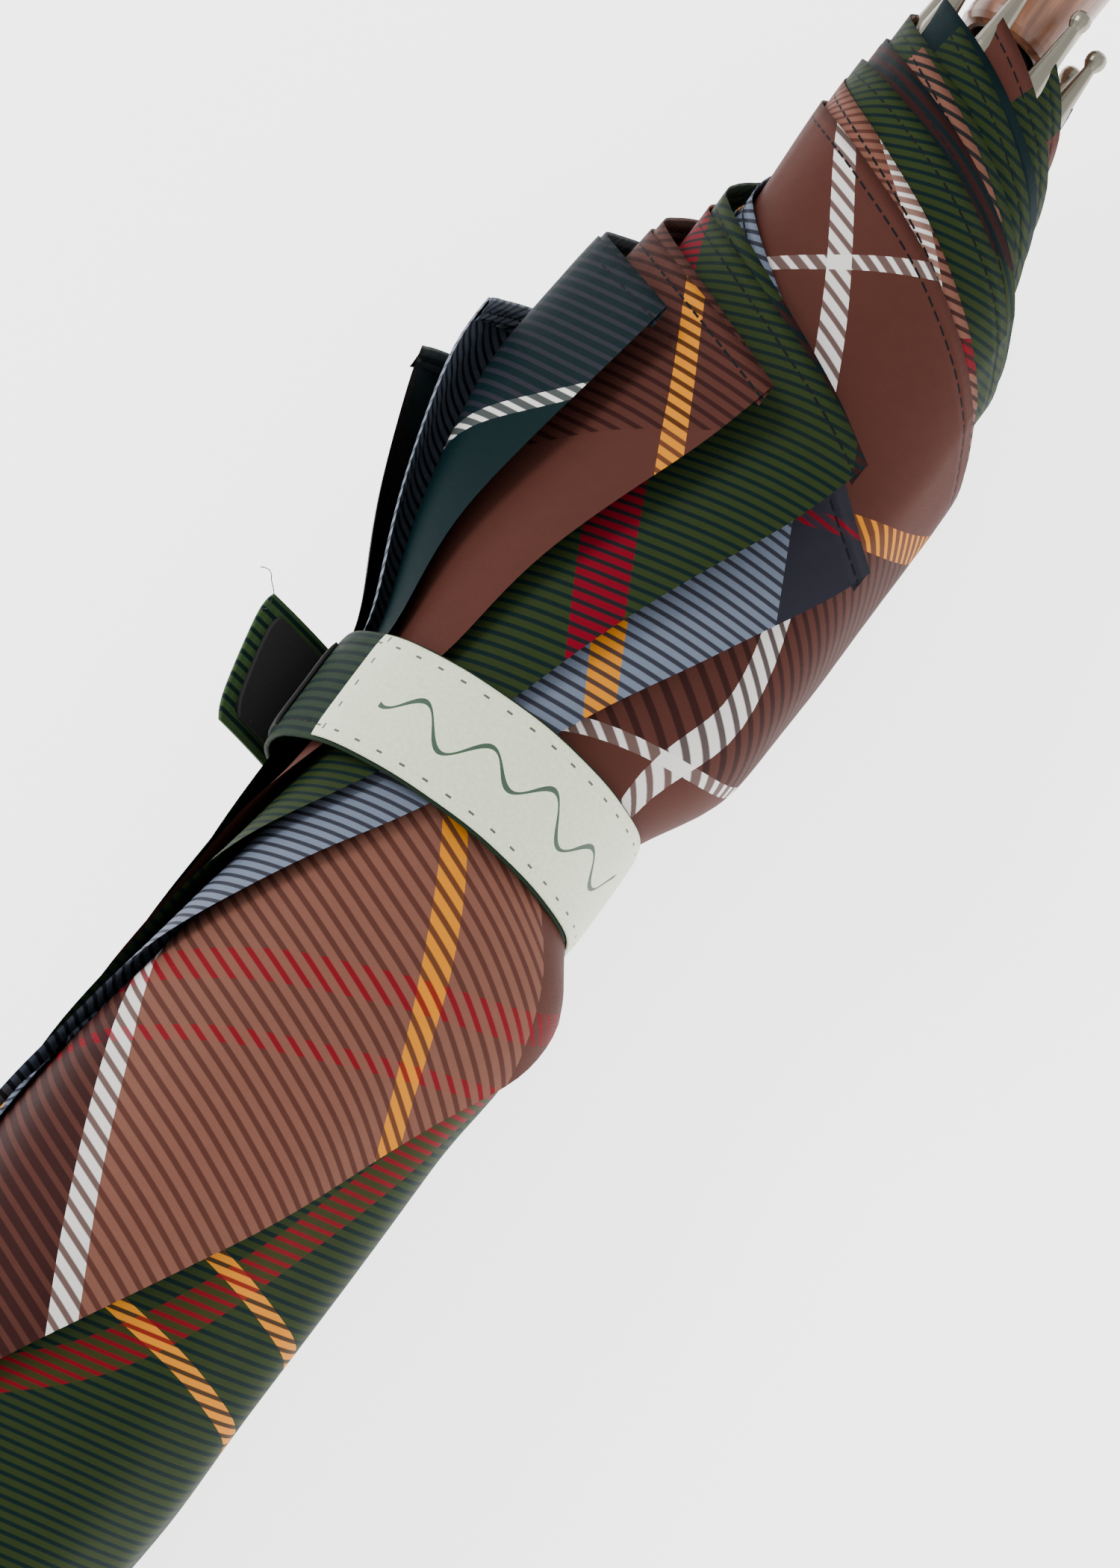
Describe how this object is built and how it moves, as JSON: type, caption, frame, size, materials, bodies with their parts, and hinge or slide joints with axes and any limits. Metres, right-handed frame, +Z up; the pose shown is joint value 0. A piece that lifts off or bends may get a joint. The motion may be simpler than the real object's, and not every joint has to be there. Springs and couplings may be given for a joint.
{
  "type": "stick umbrella",
  "caption": "Long stick umbrella, closed and strapped, with a tartan canopy on folding steel ribs, sliding runner, sprung catches, crook handle and metal ferrule.",
  "frame": {"origin": "centre of the lying umbrella's footprint, on the surface it lies on", "axes": "+X along the shaft towards the crook handle, +Z up, away from the surface; the crook bends towards -Y"},
  "size_m": [0.8875, 0.1352, 0.088],
  "materials": {
    "steel": "gunmetal plated",
    "bright_steel": "bright spring steel",
    "black_plastic": "moulded",
    "wood": "satin varnish",
    "canopy_cloth": "satin tartan",
    "strap_cloth": "satin",
    "label_cloth": "woven",
    "hook_and_loop": "hook and loop pile"
  },
  "bodies": {
    "shaft": {"shaft": "steel", "cross_pins": "bright_steel", "ferrule": "steel", "crown_cap": "steel", "crown_rosette": "strap_cloth", "notch": "steel", "notch_wire": "bright_steel", "handle": "wood"},
    "runner": {"runner": "black_plastic", "runner_wire": "bright_steel"},
    "top_catch": {"top_catch": "bright_steel"},
    "bottom_catch": {"bottom_catch": "bright_steel"},
    "rib_1": {"rib_1": "steel", "rib_tip_1": "steel"},
    "stretcher_1": {"stretcher_1": "steel"},
    "panel_1_left": {"panel_1_left": "canopy_cloth"},
    "panel_1_right": {"panel_1_right": "canopy_cloth"},
    "rib_2": {"rib_2": "steel", "rib_tip_2": "steel"},
    "stretcher_2": {"stretcher_2": "steel"},
    "panel_2_left": {"panel_2_left": "canopy_cloth"},
    "panel_2_right": {"panel_2_right": "canopy_cloth"},
    "rib_3": {"rib_3": "steel", "rib_tip_3": "steel"},
    "stretcher_3": {"stretcher_3": "steel"},
    "panel_3_left": {"panel_3_left": "canopy_cloth"},
    "panel_3_right": {"panel_3_right": "canopy_cloth"},
    "rib_4": {"rib_4": "steel", "rib_tip_4": "steel"},
    "stretcher_4": {"stretcher_4": "steel"},
    "panel_4_left": {"panel_4_left": "canopy_cloth"},
    "panel_4_right": {"panel_4_right": "canopy_cloth"},
    "rib_5": {"rib_5": "steel", "rib_tip_5": "steel"},
    "stretcher_5": {"stretcher_5": "steel"},
    "panel_5_left": {"panel_5_left": "canopy_cloth"},
    "panel_5_right": {"panel_5_right": "canopy_cloth"},
    "rib_6": {"rib_6": "steel", "rib_tip_6": "steel"},
    "stretcher_6": {"stretcher_6": "steel"},
    "panel_6_left": {"panel_6_left": "canopy_cloth"},
    "panel_6_right": {"panel_6_right": "canopy_cloth"},
    "rib_7": {"rib_7": "steel", "rib_tip_7": "steel"},
    "stretcher_7": {"stretcher_7": "steel"},
    "panel_7_left": {"panel_7_left": "canopy_cloth"},
    "panel_7_right": {"panel_7_right": "canopy_cloth"},
    "rib_8": {"rib_8": "steel", "rib_tip_8": "steel"},
    "stretcher_8": {"stretcher_8": "steel"},
    "panel_8_left": {"panel_8_left": "canopy_cloth"},
    "panel_8_right": {"panel_8_right": "canopy_cloth"},
    "strap_front": {"strap_front": "strap_cloth", "label": "label_cloth", "loop_patch": "hook_and_loop"},
    "strap_back": {"strap_back": "strap_cloth"},
    "strap_tab": {"strap_tab": "strap_cloth", "hook_patch": "hook_and_loop"}
  },
  "joints": [
    {"name": "opening", "type": "hinge", "parent": "shaft", "child": "rib_1", "pos_m": [-0.34375, 0.02997, 0.044], "axis": [0, 0, 1], "range_deg": [0, 75], "deforming": ["panel_1_left", "panel_1_right", "panel_2_left", "panel_2_right", "panel_3_left", "panel_3_right", "panel_4_left", "panel_4_right", "panel_5_left", "panel_5_right", "panel_6_left", "panel_6_right", "panel_7_left", "panel_7_right", "panel_8_left", "panel_8_right", "strap_front", "label", "loop_patch", "strap_back", "strap_tab", "hook_patch", "top_catch", "bottom_catch"]},
    {"name": "rib_2_swing", "type": "hinge", "parent": "shaft", "child": "rib_2", "pos_m": [-0.34375, 0.02704, 0.05107], "axis": [0, -0.7071, 0.7071], "range_deg": [0, 75]},
    {"name": "rib_3_swing", "type": "hinge", "parent": "shaft", "child": "rib_3", "pos_m": [-0.34375, 0.01997, 0.054], "axis": [0, -1, 0], "range_deg": [0, 75]},
    {"name": "rib_4_swing", "type": "hinge", "parent": "shaft", "child": "rib_4", "pos_m": [-0.34375, 0.0129, 0.05107], "axis": [0, -0.7071, -0.7071], "range_deg": [0, 75]},
    {"name": "rib_5_swing", "type": "hinge", "parent": "shaft", "child": "rib_5", "pos_m": [-0.34375, 0.00997, 0.044], "axis": [0, 0, -1], "range_deg": [0, 75]},
    {"name": "rib_6_swing", "type": "hinge", "parent": "shaft", "child": "rib_6", "pos_m": [-0.34375, 0.0129, 0.03693], "axis": [0, 0.7071, -0.7071], "range_deg": [0, 75]},
    {"name": "rib_7_swing", "type": "hinge", "parent": "shaft", "child": "rib_7", "pos_m": [-0.34375, 0.01997, 0.034], "axis": [0, 1, 0], "range_deg": [0, 75]},
    {"name": "rib_8_swing", "type": "hinge", "parent": "shaft", "child": "rib_8", "pos_m": [-0.34375, 0.02704, 0.03693], "axis": [0, 0.7071, 0.7071], "range_deg": [0, 75]},
    {"name": "stretcher_1_fold", "type": "hinge", "parent": "rib_1", "child": "stretcher_1", "pos_m": [-0.07375, 0.02997, 0.044], "axis": [0, 0, 1], "range_deg": [-150, 0]},
    {"name": "stretcher_2_fold", "type": "hinge", "parent": "rib_2", "child": "stretcher_2", "pos_m": [-0.07375, 0.02704, 0.05107], "axis": [0, -0.7071, 0.7071], "range_deg": [-150, 0]},
    {"name": "stretcher_3_fold", "type": "hinge", "parent": "rib_3", "child": "stretcher_3", "pos_m": [-0.07375, 0.01997, 0.054], "axis": [0, -1, 0], "range_deg": [-150, 0]},
    {"name": "stretcher_4_fold", "type": "hinge", "parent": "rib_4", "child": "stretcher_4", "pos_m": [-0.07375, 0.0129, 0.05107], "axis": [0, -0.7071, -0.7071], "range_deg": [-150, 0]},
    {"name": "stretcher_5_fold", "type": "hinge", "parent": "rib_5", "child": "stretcher_5", "pos_m": [-0.07375, 0.00997, 0.044], "axis": [0, 0, -1], "range_deg": [-150, 0]},
    {"name": "stretcher_6_fold", "type": "hinge", "parent": "rib_6", "child": "stretcher_6", "pos_m": [-0.07375, 0.0129, 0.03693], "axis": [0, 0.7071, -0.7071], "range_deg": [-150, 0]},
    {"name": "stretcher_7_fold", "type": "hinge", "parent": "rib_7", "child": "stretcher_7", "pos_m": [-0.07375, 0.01997, 0.034], "axis": [0, 1, 0], "range_deg": [-150, 0]},
    {"name": "stretcher_8_fold", "type": "hinge", "parent": "rib_8", "child": "stretcher_8", "pos_m": [-0.07375, 0.02704, 0.03693], "axis": [0, 0.7071, 0.7071], "range_deg": [-150, 0]},
    {"name": "runner_travel", "type": "hinge", "parent": "stretcher_1", "child": "runner", "pos_m": [0.19625, 0.02997, 0.044], "axis": [0, 0, 1], "range_deg": [0, 75]},
    {"name": "panel_1_left_unfold", "type": "hinge", "parent": "rib_1", "child": "panel_1_left", "pos_m": [-0.34838, 0.02394, 0.04312], "axis": [-0.5695, -0.7422, -0.3534], "range_deg": [0, 26.98]},
    {"name": "panel_1_right_unfold", "type": "hinge", "parent": "rib_2", "child": "panel_1_right", "pos_m": [-0.34838, 0.02216, 0.04743], "axis": [0.5695, 0.7747, 0.2749], "range_deg": [0, 26.98]},
    {"name": "panel_2_left_unfold", "type": "hinge", "parent": "rib_2", "child": "panel_2_left", "pos_m": [-0.34838, 0.0234, 0.04618], "axis": [-0.5695, -0.2749, -0.7747], "range_deg": [0, 26.98]},
    {"name": "panel_2_right_unfold", "type": "hinge", "parent": "rib_3", "child": "panel_2_right", "pos_m": [-0.34838, 0.01909, 0.04797], "axis": [0.5695, 0.3534, 0.7422], "range_deg": [0, 26.98]},
    {"name": "panel_3_left_unfold", "type": "hinge", "parent": "rib_3", "child": "panel_3_left", "pos_m": [-0.34838, 0.02085, 0.04797], "axis": [-0.5695, 0.3534, -0.7422], "range_deg": [0, 26.98]},
    {"name": "panel_3_right_unfold", "type": "hinge", "parent": "rib_4", "child": "panel_3_right", "pos_m": [-0.34838, 0.01654, 0.04618], "axis": [0.5695, -0.2749, 0.7747], "range_deg": [0, 26.98]},
    {"name": "panel_4_left_unfold", "type": "hinge", "parent": "rib_4", "child": "panel_4_left", "pos_m": [-0.34838, 0.01779, 0.04743], "axis": [-0.5695, 0.7747, -0.2749], "range_deg": [0, 26.98]},
    {"name": "panel_4_right_unfold", "type": "hinge", "parent": "rib_5", "child": "panel_4_right", "pos_m": [-0.34838, 0.016, 0.04312], "axis": [0.5695, -0.7422, 0.3534], "range_deg": [0, 26.98]},
    {"name": "panel_5_left_unfold", "type": "hinge", "parent": "rib_5", "child": "panel_5_left", "pos_m": [-0.34838, 0.016, 0.04488], "axis": [-0.5695, 0.7422, 0.3534], "range_deg": [0, 26.98]},
    {"name": "panel_5_right_unfold", "type": "hinge", "parent": "rib_6", "child": "panel_5_right", "pos_m": [-0.34838, 0.01779, 0.04057], "axis": [0.5695, -0.7747, -0.2749], "range_deg": [0, 26.98]},
    {"name": "panel_6_left_unfold", "type": "hinge", "parent": "rib_6", "child": "panel_6_left", "pos_m": [-0.34838, 0.01654, 0.04182], "axis": [-0.5695, 0.2749, 0.7747], "range_deg": [0, 26.98]},
    {"name": "panel_6_right_unfold", "type": "hinge", "parent": "rib_7", "child": "panel_6_right", "pos_m": [-0.34838, 0.02085, 0.04003], "axis": [0.5695, -0.3534, -0.7422], "range_deg": [0, 26.98]},
    {"name": "panel_7_left_unfold", "type": "hinge", "parent": "rib_7", "child": "panel_7_left", "pos_m": [-0.34838, 0.01909, 0.04003], "axis": [-0.5695, -0.3534, 0.7422], "range_deg": [0, 26.98]},
    {"name": "panel_7_right_unfold", "type": "hinge", "parent": "rib_8", "child": "panel_7_right", "pos_m": [-0.34838, 0.0234, 0.04182], "axis": [0.5695, 0.2749, -0.7747], "range_deg": [0, 26.98]},
    {"name": "panel_8_left_unfold", "type": "hinge", "parent": "rib_8", "child": "panel_8_left", "pos_m": [-0.34838, 0.02216, 0.04057], "axis": [-0.5695, -0.7747, 0.2749], "range_deg": [0, 26.98]},
    {"name": "panel_8_right_unfold", "type": "hinge", "parent": "rib_1", "child": "panel_8_right", "pos_m": [-0.34838, 0.02394, 0.04488], "axis": [0.5695, 0.7422, -0.3534], "range_deg": [0, 26.98]},
    {"name": "strap_front_unwrap", "type": "hinge", "parent": "panel_8_left", "child": "strap_front", "pos_m": [0.07925, 0.04993, 0.03979], "axis": [1, 0, 0], "range_deg": [-45, 0]},
    {"name": "strap_back_unwrap", "type": "hinge", "parent": "strap_front", "child": "strap_back", "pos_m": [0.07925, -0.00854, 0.0339], "axis": [1, 0, 0], "range_deg": [-112.5, 0]},
    {"name": "strap_tab_peel", "type": "hinge", "parent": "strap_back", "child": "strap_tab", "pos_m": [0.07925, 0.04739, 0.03122], "axis": [1, 0, 0], "range_deg": [-70, 12]},
    {"name": "top_catch_press", "type": "hinge", "parent": "shaft", "child": "top_catch", "pos_m": [-0.12875, 0.02097, 0.0464], "axis": [0, -0.9239, 0.3827], "range_deg": [0, 4], "stiffness_Nm_per_rad": 4},
    {"name": "bottom_catch_press", "type": "hinge", "parent": "shaft", "child": "bottom_catch", "pos_m": [0.17825, 0.02097, 0.0464], "axis": [0, 0.9239, -0.3827], "range_deg": [0, 4], "stiffness_Nm_per_rad": 4}
  ],
  "couplings": [
    {"joint": "rib_2_swing", "follows": "opening", "ratio": 1},
    {"joint": "rib_3_swing", "follows": "opening", "ratio": 1},
    {"joint": "rib_4_swing", "follows": "opening", "ratio": 1},
    {"joint": "rib_5_swing", "follows": "opening", "ratio": 1},
    {"joint": "rib_6_swing", "follows": "opening", "ratio": 1},
    {"joint": "rib_7_swing", "follows": "opening", "ratio": 1},
    {"joint": "rib_8_swing", "follows": "opening", "ratio": 1},
    {"joint": "stretcher_1_fold", "follows": "opening", "ratio": -2},
    {"joint": "stretcher_2_fold", "follows": "opening", "ratio": -2},
    {"joint": "stretcher_3_fold", "follows": "opening", "ratio": -2},
    {"joint": "stretcher_4_fold", "follows": "opening", "ratio": -2},
    {"joint": "stretcher_5_fold", "follows": "opening", "ratio": -2},
    {"joint": "stretcher_6_fold", "follows": "opening", "ratio": -2},
    {"joint": "stretcher_7_fold", "follows": "opening", "ratio": -2},
    {"joint": "stretcher_8_fold", "follows": "opening", "ratio": -2},
    {"joint": "runner_travel", "follows": "opening", "ratio": 1},
    {"joint": "panel_1_left_unfold", "follows": "opening", "ratio": 0.35957},
    {"joint": "panel_1_right_unfold", "follows": "opening", "ratio": 0.35957},
    {"joint": "panel_2_left_unfold", "follows": "opening", "ratio": 0.35957},
    {"joint": "panel_2_right_unfold", "follows": "opening", "ratio": 0.35957},
    {"joint": "panel_3_left_unfold", "follows": "opening", "ratio": 0.35957},
    {"joint": "panel_3_right_unfold", "follows": "opening", "ratio": 0.35957},
    {"joint": "panel_4_left_unfold", "follows": "opening", "ratio": 0.35957},
    {"joint": "panel_4_right_unfold", "follows": "opening", "ratio": 0.35957},
    {"joint": "panel_5_left_unfold", "follows": "opening", "ratio": 0.35957},
    {"joint": "panel_5_right_unfold", "follows": "opening", "ratio": 0.35957},
    {"joint": "panel_6_left_unfold", "follows": "opening", "ratio": 0.35957},
    {"joint": "panel_6_right_unfold", "follows": "opening", "ratio": 0.35957},
    {"joint": "panel_7_left_unfold", "follows": "opening", "ratio": 0.35957},
    {"joint": "panel_7_right_unfold", "follows": "opening", "ratio": 0.35957},
    {"joint": "panel_8_left_unfold", "follows": "opening", "ratio": 0.35957},
    {"joint": "panel_8_right_unfold", "follows": "opening", "ratio": 0.35957},
    {"joint": "strap_front_unwrap", "follows": "opening", "ratio": -0.6},
    {"joint": "strap_back_unwrap", "follows": "opening", "ratio": -1.5}
  ]
}
